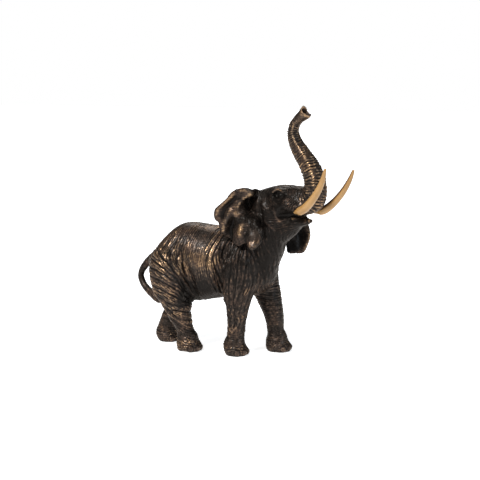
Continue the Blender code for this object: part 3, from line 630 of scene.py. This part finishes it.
def openness(points, normals, solid):
    """How much open sky each point sees past the solid, from 0 in a recess to 1 on a bare bulge, for the
    patina and the painted shade of closed-in places.
    """
    rng = np.random.default_rng(SEEDS["sky_patina_and_shade"])
    corners = [Vector(v) for v in points_of(solid)]
    tree = BVHTree.FromPolygons(corners, [tuple(f.vertices) for f in solid.polygons])
    picked = rng.permutation(len(points))[:SKY_SPOTS]
    seen = np.empty(len(picked))
    for k, index in enumerate(picked):
        normal = Vector(normals[index])
        start = Vector(points[index]) + normal * 1.6
        clear = 0
        for spot in rng.normal(size=(SKY_RAYS, 3)):
            ray = (normal * 1.02 + Vector(spot).normalized()).normalized()
            clear += tree.ray_cast(start, ray, SKY_REACH)[0] is None
        seen[k] = clear / SKY_RAYS
    spots, facing = points[picked], normals[picked]
    result = np.ones(len(points))
    for rows, near in blocks(points, spots, 8.0, lambda rows: 9.0):
        gap = ((points[rows, None] - spots[None, near]) ** 2).sum(-1)
        agree = np.clip(normals[rows] @ facing[near].T, 0.02, 1) ** 2
        weight = np.exp(-gap / (2 * SKY_BLUR**2)) * agree + 1e-9
        result[rows] = (weight * seen[near]).sum(1) / weight.sum(1)
    return result


def stroke(places, path, width):
    """1 at the places on a path, falling off over a width beside it."""
    path = np.array(path, float)
    shares = np.linspace(0, len(path) - 1, 8 * (len(path) - 1) + 1)
    line = np.stack([np.interp(shares, np.arange(len(path)), column) for column in path.T], axis=1)
    low, high = line.min(0) - 3 * width, line.max(0) + 3 * width
    close = np.flatnonzero(((places > low) & (places < high)).all(1))
    share = np.zeros(len(places))
    gap = ((places[close, None] - line[None]) ** 2).sum(-1).min(1)
    share[close] = np.exp(-gap / (width * width))
    return share


# ---------------------------------------------------------------- the hide
def rounded(net, points):
    """The points with facets worn down, toes rounded and the tip smooth, and how far the tip is."""
    points = net.fair(points, FACET_ROUNDS)
    toes = net.soften(points, TOE_ROUNDS) - points
    toes[:, 2] *= rise(points[:, 2], 0.8, 3)
    points = points + rise(points[:, 2], *TOE_TOP)[:, None] * toes
    from_tip = np.linalg.norm(head_places(points) - TRUNK_MOUTH[:3], axis=1)
    tip = rise(from_tip, *TIP_REACH)[:, None]
    return points + tip * (net.fair(points, TIP_ROUNDS) - points), from_tip


class Zones:
    """Which part of the elephant each point is on, as shares from 0 to 1, and where it is on that part.

    A trunk, a tail or an ear fades out near its own radius, and the other parts between two places in mm.
    """

    def __init__(self, points, from_tip):
        self.from_tip = from_tip
        self.side = np.where(points[:, 1] < MIDLINE, -1, 1)
        self.in_head = head_places(points)
        self.head_side = np.where(self.in_head[:, 1] < 0, -1, 1)
        ahead, up = self.in_head[:, 0], self.in_head[:, 2]

        line, way = dense(TRUNK)
        on, share = nearest(points, line)
        self.trunk_at, self.trunk_way = line[on, :3], way[on]
        self.far = on / len(line)
        past_face = np.maximum(rise(ahead, 58, 67), rise(up, 198, 206))
        self.trunk = rise(share, 1.6, 1.3) * past_face * rise(up, 150, 158)

        line, way = dense(TAIL)
        on, share = nearest(points, line)
        self.tail_way = way[on]
        self.tail = rise(share, 1.7, 1.35)

        self.ears = {
            "right": rise(covered(points, RIGHT_EAR), 1.1, 0.85),
            "left": rise(covered(points, LEFT_EAR), 1.1, 0.85),
        }
        self.feet = rise(points[:, 2], *FOOT_TOP)
        self.fore = rise(points[:, 0], -24, -10)
        self.head = rise(up + 0.35 * ahead, 146, 160) * rise(ahead, 4, 14)
        self.rest = np.ones(len(points))
        for mask in (self.head, self.ears["right"], self.ears["left"], self.tail, self.trunk):
            self.rest = self.rest * (1 - mask)
        for mask in (self.ears["right"], self.ears["left"], self.trunk):
            self.head = self.head * (1 - mask)


def body_places(points, side):
    """Each point's x and z in the body's drawing, where the left hind leg is in the right one's place."""
    walk_shift = np.interp(points[:, 2], HIND_HEIGHTS, np.subtract(RIGHT_HIND_LINE, LEFT_HIND_LINE))
    hind_left = (side > 0) & (points[:, 0] < -45)
    x = points[:, 0] + np.where(hind_left, walk_shift * rise(points[:, 0], -45, -60), 0)
    return np.stack((x, points[:, 2]), axis=1)


def folds_of(points, normals, zones):
    """The way the folds run: as drawn on the body and the head, and round or along the other parts."""
    grain = Grain(normals)
    across, up = wrapped(normals, WALK, UP, zones.side)
    grain.add(0.004 * zones.rest, up, *BODY_GRAIN)
    places = body_places(points, zones.side)
    grain.draw(zones.rest * (1 - zones.feet), across, up, zones.side, places, BODY_FOLDS)
    grain.add(zones.rest * zones.feet, across, *FOOT_GRAIN)
    across, up = wrapped(normals, HEAD_AHEAD, UP, zones.head_side)
    grain.add(0.01 * zones.head, across, *HEAD_GRAIN)
    grain.draw(zones.head, across, up, zones.head_side, zones.in_head[:, [0, 2]], HEAD_FOLDS)
    for name, (top, bottom) in EAR_ROOTS.items():
        top, bottom = np.array(top, float), np.array(bottom, float)
        down = np.clip((points[:, 2] - top[2]) / (bottom[2] - top[2]), 0, 1)[:, None]
        fan = flat_on(points - (top + down * (bottom - top)), normals)
        grain.add(zones.ears[name] * (1 - zones.trunk), unit(fan), *EAR_GRAIN)
    grain.add(zones.tail * (1 - zones.trunk), unit(flat_on(zones.tail_way, normals)), *TAIL_GRAIN)
    ring = unit(np.cross(zones.trunk_way, normals))
    spacing, depth = np.interp(zones.far, *RING_SPACING), np.interp(zones.far, *RING_DEPTH)
    grain.add(zones.trunk, ring, spacing, RING_STRETCH, depth)
    grain.settle()
    return grain


def folded(points, grain, net, zones):
    """How high the folds stand at each point, and the broad folds among them."""
    patchy = waves(points, PATCH_LENGTH, SEEDS["patches"])
    spread = np.clip(waves(points, SPREAD_LENGTH, SEEDS["spread"]), -1.5, 1.5)
    spacing = grain.spacing * (1 + 0.24 * spread) * PLEAT_SCALE
    ridge = ridges(points, grain, net, spacing, 0.9, SEEDS["pleats"])
    # The folds are broken into cells like bricks, most of all on the legs.
    edge = cells(points, grain, spacing * 0.8, np.clip(grain.stretch * 0.3, 1.2, 2.6), SEEDS["cells"])
    brick = np.sqrt(np.clip(edge / 0.8, 0, 1)) - 0.62
    broad = ridges(points, grain, net, spacing * BROAD_SCALE, 0.8, SEEDS["broad"])
    broad = broad * rise(grain.depth, 0.34, 0.6) * zones.rest * (1 - zones.feet) * (1 - 0.45 * zones.fore)
    rough = (0.55 + 0.45 * zones.fore) * waves(points, UNEVEN_LENGTH, SEEDS["uneven"])
    uneven = np.clip(1 + rough, 0.1, 2)
    legs = rise(points[:, 2], 75, 50) * (1 - zones.tail)
    depth = grain.depth * (1 + 0.3 * patchy)
    height = depth * ((1.5 - 0.4 * legs) * ridge * uneven + (0.55 + 0.75 * legs) * brick)
    return height + BROAD_DEPTH * (1 + 0.3 * patchy) * broad, broad


def trunk_seam(points, zones):
    """1 along the two ridges that part the trunk's sides from its underside."""
    offset = flat_on(points - zones.trunk_at, zones.trunk_way)
    below = unit(np.cross(HEAD_LEFT, zones.trunk_way))
    below *= np.sign((below * HEAD_AHEAD).sum(1))[:, None]
    turn = np.arctan2(np.abs(offset @ HEAD_LEFT), (offset * below).sum(1))
    seam = np.exp(-(((turn - SEAM_TURN) / SEAM_WIDTH) ** 2))
    return seam * zones.trunk * rise(zones.far, 0.05, 0.15) * rise(zones.far, 0.95, 0.8)


def nails(points):
    """Where the toenails are, and the groove around each."""
    inside, around = np.zeros(len(points)), np.zeros(len(points))
    low = points[:, 2] < FOOT_TOP[0]
    for x, y, turn in FEET:
        for step in range(NAILS):
            angle = math.radians(turn + NAIL_SPREAD * (step / (NAILS - 1) - 0.5))
            reach = np.array([math.cos(angle), math.sin(angle)]) * FOOT_REACH
            offset = points - (x + reach[0], y + reach[1], NAIL_HEIGHT)
            aside = offset[:, 1] * math.cos(angle) - offset[:, 0] * math.sin(angle)
            size = np.hypot(aside / NAIL_RADII[0], offset[:, 2] / NAIL_RADII[1])
            close = low & (np.linalg.norm(offset[:, :2], axis=1) < 6)
            inside = np.maximum(inside, rise(size, 1.0, 0.75) * close)
            around = np.maximum(around, np.exp(-(((size - 1.12) / 0.2) ** 2)) * close)
    return inside, around * (1 - inside)


def touched(height, painted_shade_and_highlights, normals, zones):
    """The height, and the painted shade and highlights, with the strokes on the head put in: its eyes,
    cheeks and mouth.
    """
    beside = rise(np.abs(zones.in_head[:, 1]), 4, 7)
    outward = rise((normals * HEAD_LEFT).sum(1) * zones.head_side, 0.1, 0.45)
    bare = (1 - zones.ears["right"]) * (1 - zones.ears["left"])
    for width, lift, dark, path in HEAD_TOUCHES:
        touch = stroke(zones.in_head[:, [0, 2]], path, width) * beside * outward * bare
        height = height * (1 - 0.75 * touch) + lift * touch
        painted_shade_and_highlights = painted_shade_and_highlights + dark * touch
    return height, painted_shade_and_highlights


def trunk_end_shade(zones):
    """The brighter rim of the trunk's open end, and the painted shade inside it."""
    rim = np.exp(-(((zones.from_tip - TRUNK_MOUTH[3]) / 1.5) ** 2)) * zones.trunk
    apart = np.linalg.norm(zones.in_head - NOSTRILS[:3], axis=1)
    return 1.3 * rise(apart, NOSTRILS[3] * 1.25, NOSTRILS[3] * 0.7) - 0.9 * rim


def ear_shade(normals, zones):
    """The painted shade and the painted highlights on the fronts of the ears."""
    painted_shade_and_highlights = np.zeros(len(normals))
    for which, width, dark, path in EAR_TOUCHES:
        front = HEAD_AHEAD - (0.7 * HEAD_LEFT if which == "right" else 0)
        facing = rise(normals @ unit(front), -0.15, 0.3)
        painted_shade_and_highlights += dark * stroke(zones.in_head, path, width) * zones.ears[which] * facing
    return painted_shade_and_highlights


def wear_and_shade(points, zones):
    """How far the dark patina is rubbed off, with painted light mixed in: most on the flanks, where a
    highlight is painted too, and least on the belly and the head, with painted shade under the belly and on
    the chest under the head.
    """
    x, z = points[:, 0], points[:, 2]
    # The forequarter is made darker, and the chest under the head and the belly are darker still as painted
    # shade.
    front = rise(x, -27, -15) * (0.3 + 0.7 * rise(z, 74, 96)) * rise(z, 30, 60)
    chest = rise(x, 18, 30) * rise(z, 76, 92)
    belly = rise(z, 92, 74) * rise(z, 46, 56) * rise(np.abs(x + 44), 28, 16)
    amount = np.full(len(points), 0.22)
    for middle_x, middle_z, reach_x, reach_z, share in RUBBED:
        amount += share * np.exp(-(((x - middle_x) / reach_x) ** 2 + ((z - middle_z) / reach_z) ** 2))
    amount = amount - 0.65 * front - 0.35 * chest - 1.1 * belly
    amount += 0.15 * rise(z, 20, 9) * rise(z, 0.5, 3)
    amount = amount * (1 - zones.head) - 0.5 * zones.head
    amount = amount * (1 - zones.trunk) + 0.6 * zones.trunk
    for mask in zones.ears.values():
        amount = amount * (1 - mask) + 0.1 * mask
    return amount


def thinned(skin):
    """The skin with no more than SKIN_TRIANGLES triangles."""
    count = len(skin.data.polygons) * 2
    if count > SKIN_TRIANGLES:
        thin = baked("hide", skin.data, ("DECIMATE", {"ratio": SKIN_TRIANGLES / count}))
        bpy.data.objects.remove(skin)
        skin = thin
    skin.name = "hide"
    skin.data.shade_smooth()
    return skin


def hide():
    """The body's hide, with its folds in its shape and what its patina, painted shade and painted highlights
    are mixed by at every vertex.
    """
    skin = baked(
        "hide", welded("body"),
        ("SUBSURF", {"levels": 2, "render_levels": 2}),
        ("REMESH", {"mode": "VOXEL", "voxel_size": SKIN_GRID * MM}),
    )
    mesh = skin.data
    net = Net(mesh)
    points, from_tip = rounded(net, points_of(mesh))
    set_points(mesh, points)
    normals = unit(net.soften(normals_of(mesh), NORMAL_ROUNDS))
    zones = Zones(points, from_tip)
    grain = folds_of(points, normals, zones)

    # The folds, then the marks that lie over them, and last a flat sole and the CAD's own box.
    height, broad = folded(points, grain, net, zones)
    height += SEAM_HEIGHT * trunk_seam(points, zones)
    nail, groove = nails(points)
    height = height * (1 - 0.8 * nail) + 0.2 * nail - 0.35 * groove
    # Painted shade starts in the grooves round the nails; the head's strokes, the trunk's end and the ears
    # add painted shade and painted highlights.
    height, painted_shade_and_highlights = touched(height, 0.45 * groove, normals, zones)
    painted_shade_and_highlights = painted_shade_and_highlights + trunk_end_shade(zones) + ear_shade(normals, zones)
    height = height * (1 - 0.8 * rise(from_tip, *TIP_REACH)) * rise(points[:, 2], 0.4, 2.5)
    low, high = (np.array(corner) / MM for corner in CAD_BOX)
    points = np.clip(points + normals * height[:, None], low + BOX_MARGIN, high - BOX_MARGIN)
    set_points(mesh, points)

    # How far each place stands above those around it.
    relief = height - net.soften(height, 30)
    relief = np.clip(relief / (np.abs(relief).mean() * 2.2) + 0.5 * broad, -1.6, 1.3)
    relief *= 1 - 0.2 * zones.fore * zones.rest
    sky_patina_and_shade = openness(points, normals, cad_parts["body"].data)
    worn_and_lit = wear_and_shade(points, zones)
    for name, values in (("relief", relief), ("sky_patina_and_shade", sky_patina_and_shade), ("painted_shade_and_highlights", painted_shade_and_highlights), ("wear_and_shade", worn_and_lit), ("nail", nail)):
        layer = mesh.attributes.new(name, "FLOAT", "POINT")
        layer.data.foreach_set("value", values.astype(np.float32))
    return thinned(skin)


# ---------------------------------------------------------------- materials
class Nodes:
    """One material's nodes, joined by short calls. A value may be a number, a colour or a socket."""

    def __init__(self, name):
        self.material = bpy.data.materials.new(name)
        self.material.use_nodes = True
        self.tree = self.material.node_tree
        self.shader = self.tree.nodes["Principled BSDF"]

    def new(self, kind, settings=None, **inputs):
        node = self.tree.nodes.new(kind)
        for key, value in (settings or {}).items():
            setattr(node, key, value)
        for key, value in inputs.items():
            self.join(value, node.inputs[key.replace("_", " ")])
        return node

    def join(self, value, socket):
        if isinstance(value, bpy.types.NodeSocket):
            self.tree.links.new(value, socket)
        else:
            socket.default_value = value

    def math(self, operation, a, b=0.0):
        node = self.new("ShaderNodeMath", {"operation": operation})
        for socket, value in zip(node.inputs, (a, b)):
            self.join(value, socket)
        return node.outputs[0]

    def map(self, value, low, high, to_low=0.0, to_high=1.0):
        node = self.new("ShaderNodeMapRange", {"interpolation_type": "SMOOTHSTEP"}, Value=value)
        for key, number in (("From Min", low), ("From Max", high), ("To Min", to_low), ("To Max", to_high)):
            node.inputs[key].default_value = number
        return node.outputs[0]

    def mix(self, share, a, b):
        """A mixed colour. The sockets for colours come after those for numbers and vectors."""
        node = self.new("ShaderNodeMix", {"data_type": "RGBA"})
        self.join(share, node.inputs[0])
        self.join(a, node.inputs[6])
        self.join(b, node.inputs[7])
        return node.outputs[2]

    def noise(self, scale, detail):
        place = self.new("ShaderNodeTexCoord").outputs["Object"]
        node = self.new("ShaderNodeTexNoise", Vector=place, Scale=scale, Detail=detail, Roughness=0.55)
        return node.outputs["Fac"]

    def attribute(self, name):
        return self.new("ShaderNodeAttribute", {"attribute_name": name}).outputs["Fac"]

    def bump(self, strength, distance, scale, detail):
        """Fine noise in the shader's normal, distance metres high."""
        height = self.noise(scale, detail)
        node = self.new("ShaderNodeBump", Strength=strength, Distance=distance, Height=height)
        self.join(node.outputs[0], self.shader.inputs["Normal"])


def bronze():
    """A black patina, rubbed to umber and gold where the folds stand high and the place is open, with
    painted shade kept black in closed-in places and painted shade and highlights added on the head, the ears
    and the trunk's end.
    """
    n = Nodes("bronzed_patina")
    relief, sky_patina_and_shade, painted_shade_and_highlights = n.attribute("relief"), n.attribute("sky_patina_and_shade"), n.attribute("painted_shade_and_highlights")
    wear_and_shade_level, nail = n.attribute("wear_and_shade"), n.attribute("nail")
    patch = n.math("SUBTRACT", n.noise(70.0, 3.0), 0.5)
    grit = n.math("SUBTRACT", n.noise(330.0, 3.0), 0.5)
    worn_and_lit = n.math("MULTIPLY", relief, RELIEF_SHARE)
    worn_and_lit = n.math("ADD", worn_and_lit, n.math("MULTIPLY", patch, PATCH_SHARE))
    worn_and_lit = n.math("ADD", worn_and_lit, n.math("MULTIPLY", grit, GRIT_SHARE))
    # Painted shade darkens the hide here, and painted highlights brighten it.
    worn_and_lit = n.math("SUBTRACT", n.math("ADD", worn_and_lit, wear_and_shade_level), painted_shade_and_highlights)
    # Where little sky is open, the rub and the gold fade and the hide stays black, as patina in hollows and
    # as painted shade.
    rub_and_light = n.math("MULTIPLY", n.map(worn_and_lit, -0.6, 1.9), n.map(sky_patina_and_shade, 0.16, 0.66))
    gold = n.math("MULTIPLY", n.map(worn_and_lit, 0.6, 2.3), n.map(sky_patina_and_shade, 0.3, 0.75))
    umber = n.mix(n.map(patch, -0.12, 0.12), DARK_UMBER, LIGHT_UMBER)
    base = n.mix(rub_and_light, BLACK, umber)
    base = n.mix(n.math("MULTIPLY", gold, 0.85), base, GOLD)
    base = n.mix(n.math("MULTIPLY", nail, 0.3), base, NAIL_BROWN)
    # Painted shade: the places shaded most go near black.
    base = n.mix(n.map(painted_shade_and_highlights, 0.3, 1.0), base, DEEP_SHADE)
    n.join(base, n.shader.inputs["Base Color"])
    roughness = n.map(n.math("ADD", rub_and_light, nail), 0.0, 1.1, 0.5, 0.31)
    n.join(roughness, n.shader.inputs["Roughness"])
    n.join(n.map(rub_and_light, 0.0, 0.8, 0.3, 0.8), n.shader.inputs["Metallic"])
    n.shader.inputs["Specular IOR Level"].default_value = 0.14
    n.shader.inputs["Specular Tint"].default_value = (1.0, 0.84, 0.7, 1)
    n.shader.inputs["Coat Weight"].default_value = 0.06
    n.shader.inputs["Coat Roughness"].default_value = 0.18
    n.bump(0.6, 0.0004, 620.0, 4.0)
    return n.material


def ivory():
    """Yellowish ivory, with a brown stain towards the head."""
    n = Nodes("ivory")
    stain = n.attribute("stain")
    cloud = n.noise(60.0, 3.0)
    base = n.mix(n.map(cloud, 0.3, 0.7), DARK_IVORY, LIGHT_IVORY)
    stained = n.map(n.math("ADD", stain, n.math("MULTIPLY", cloud, 0.4)), 0.45, 1.1)
    n.join(n.mix(stained, base, IVORY_STAIN), n.shader.inputs["Base Color"])
    n.shader.inputs["Roughness"].default_value = 0.36
    n.bump(0.3, 0.0002, 400.0, 3.0)
    return n.material


def floor_finish():
    """Pale paper with a glow of its own, so that its shadows stay faint."""
    n = Nodes("paper")
    n.join(n.mix(n.noise(30.0, 2.0), DARK_PAPER, LIGHT_PAPER), n.shader.inputs["Base Color"])
    n.shader.inputs["Roughness"].default_value = 0.9
    n.shader.inputs["Emission Color"].default_value = WHITE
    n.shader.inputs["Emission Strength"].default_value = FLOOR_GLOW
    return n.material


# ---------------------------------------------------------------- pieces
def dress():
    """The hide over the body, and the ivory over both tusks."""
    skin = hide()
    skin.data.materials.clear()
    skin.data.materials.append(bronze())
    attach(skin, "root")
    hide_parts("body")
    finish = ivory()
    for node in ("tusk_right", "tusk_left"):
        tusk = baked(node + "_ivory", welded(node), ("SUBSURF", {"levels": 2, "render_levels": 2}))
        inner = -HEAD_LEFT if node == "tusk_left" else HEAD_LEFT
        stained = unit(inner + 0.8 * UP - 0.6 * HEAD_AHEAD)
        stain = rise(normals_of(tusk.data) @ stained, 0.55, 0.95)
        layer = tusk.data.attributes.new("stain", "FLOAT", "POINT")
        layer.data.foreach_set("value", stain.astype(np.float32))
        tusk.data.materials.clear()
        tusk.data.materials.append(finish)
        tusk.data.shade_smooth()
        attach(tusk, "root")
        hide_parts(node)


def aimed(thing, place, at):
    """The thing put in a place and turned so that it looks at a point."""
    thing.location = Vector(place)
    thing.rotation_mode = "QUATERNION"
    thing.rotation_quaternion = (Vector(at) - Vector(place)).to_track_quat("-Z", "Y")


def lamp(name, towards, strength, spread, tint):
    """A far, broad light: towards is the direction it comes from, spread how wide it looks in degrees."""
    light = bpy.data.lights.new(name, "SUN")
    light.energy = strength
    light.angle = math.radians(spread)
    light.color = tint
    thing = bpy.data.objects.new(name, light)
    bpy.context.scene.collection.objects.link(thing)
    aimed(thing, towards, (0, 0, 0))


def room():
    """A world that looks white to the camera and gives the pieces only a little light."""
    world = bpy.data.worlds.new("studio")
    world.use_nodes = True
    tree = world.node_tree
    backdrop = tree.nodes["Background"]
    backdrop.inputs["Color"].default_value = WHITE
    path = tree.nodes.new("ShaderNodeLightPath")
    level = tree.nodes.new("ShaderNodeMapRange")
    level.inputs["To Min"].default_value = ROOM_LIGHT
    level.inputs["To Max"].default_value = 1.0
    tree.links.new(path.outputs["Is Camera Ray"], level.inputs["Value"])
    tree.links.new(level.outputs["Result"], backdrop.inputs["Strength"])
    bpy.context.scene.world = world


def ground():
    """The pale floor just under the feet."""
    shape = bmesh.new()
    bmesh.ops.create_grid(shape, x_segments=1, y_segments=1, size=FLOOR_SIZE)
    mesh = bpy.data.meshes.new("floor")
    shape.to_mesh(mesh)
    shape.free()
    floor = bpy.data.objects.new("floor", mesh)
    floor.location.z = -FLOOR_DROP
    bpy.context.scene.collection.objects.link(floor)
    mesh.materials.append(floor_finish())


def viewpoint():
    """The camera, on the elephant's right and a little ahead and above."""
    lens = bpy.data.cameras.new("camera")
    lens.lens = FOCAL_LENGTH
    lens.sensor_width = SENSOR_WIDTH
    camera = bpy.data.objects.new("camera", lens)
    bpy.context.scene.collection.objects.link(camera)
    bpy.context.scene.camera = camera
    azimuth, elevation = math.radians(CAMERA_AZIMUTH), math.radians(CAMERA_ELEVATION)
    level = math.cos(elevation)
    back = Vector((math.sin(azimuth) * level, -math.cos(azimuth) * level, math.sin(elevation)))
    aim = Vector(CAMERA_AIM)
    aimed(camera, aim + back * CAMERA_DISTANCE, aim)


def studio():
    """The room, the floor, the lights and the camera."""
    bpy.context.scene.view_settings.view_transform = "Standard"
    room()
    ground()
    for settings in LAMPS:
        lamp(*settings)
    viewpoint()


dress()
studio()
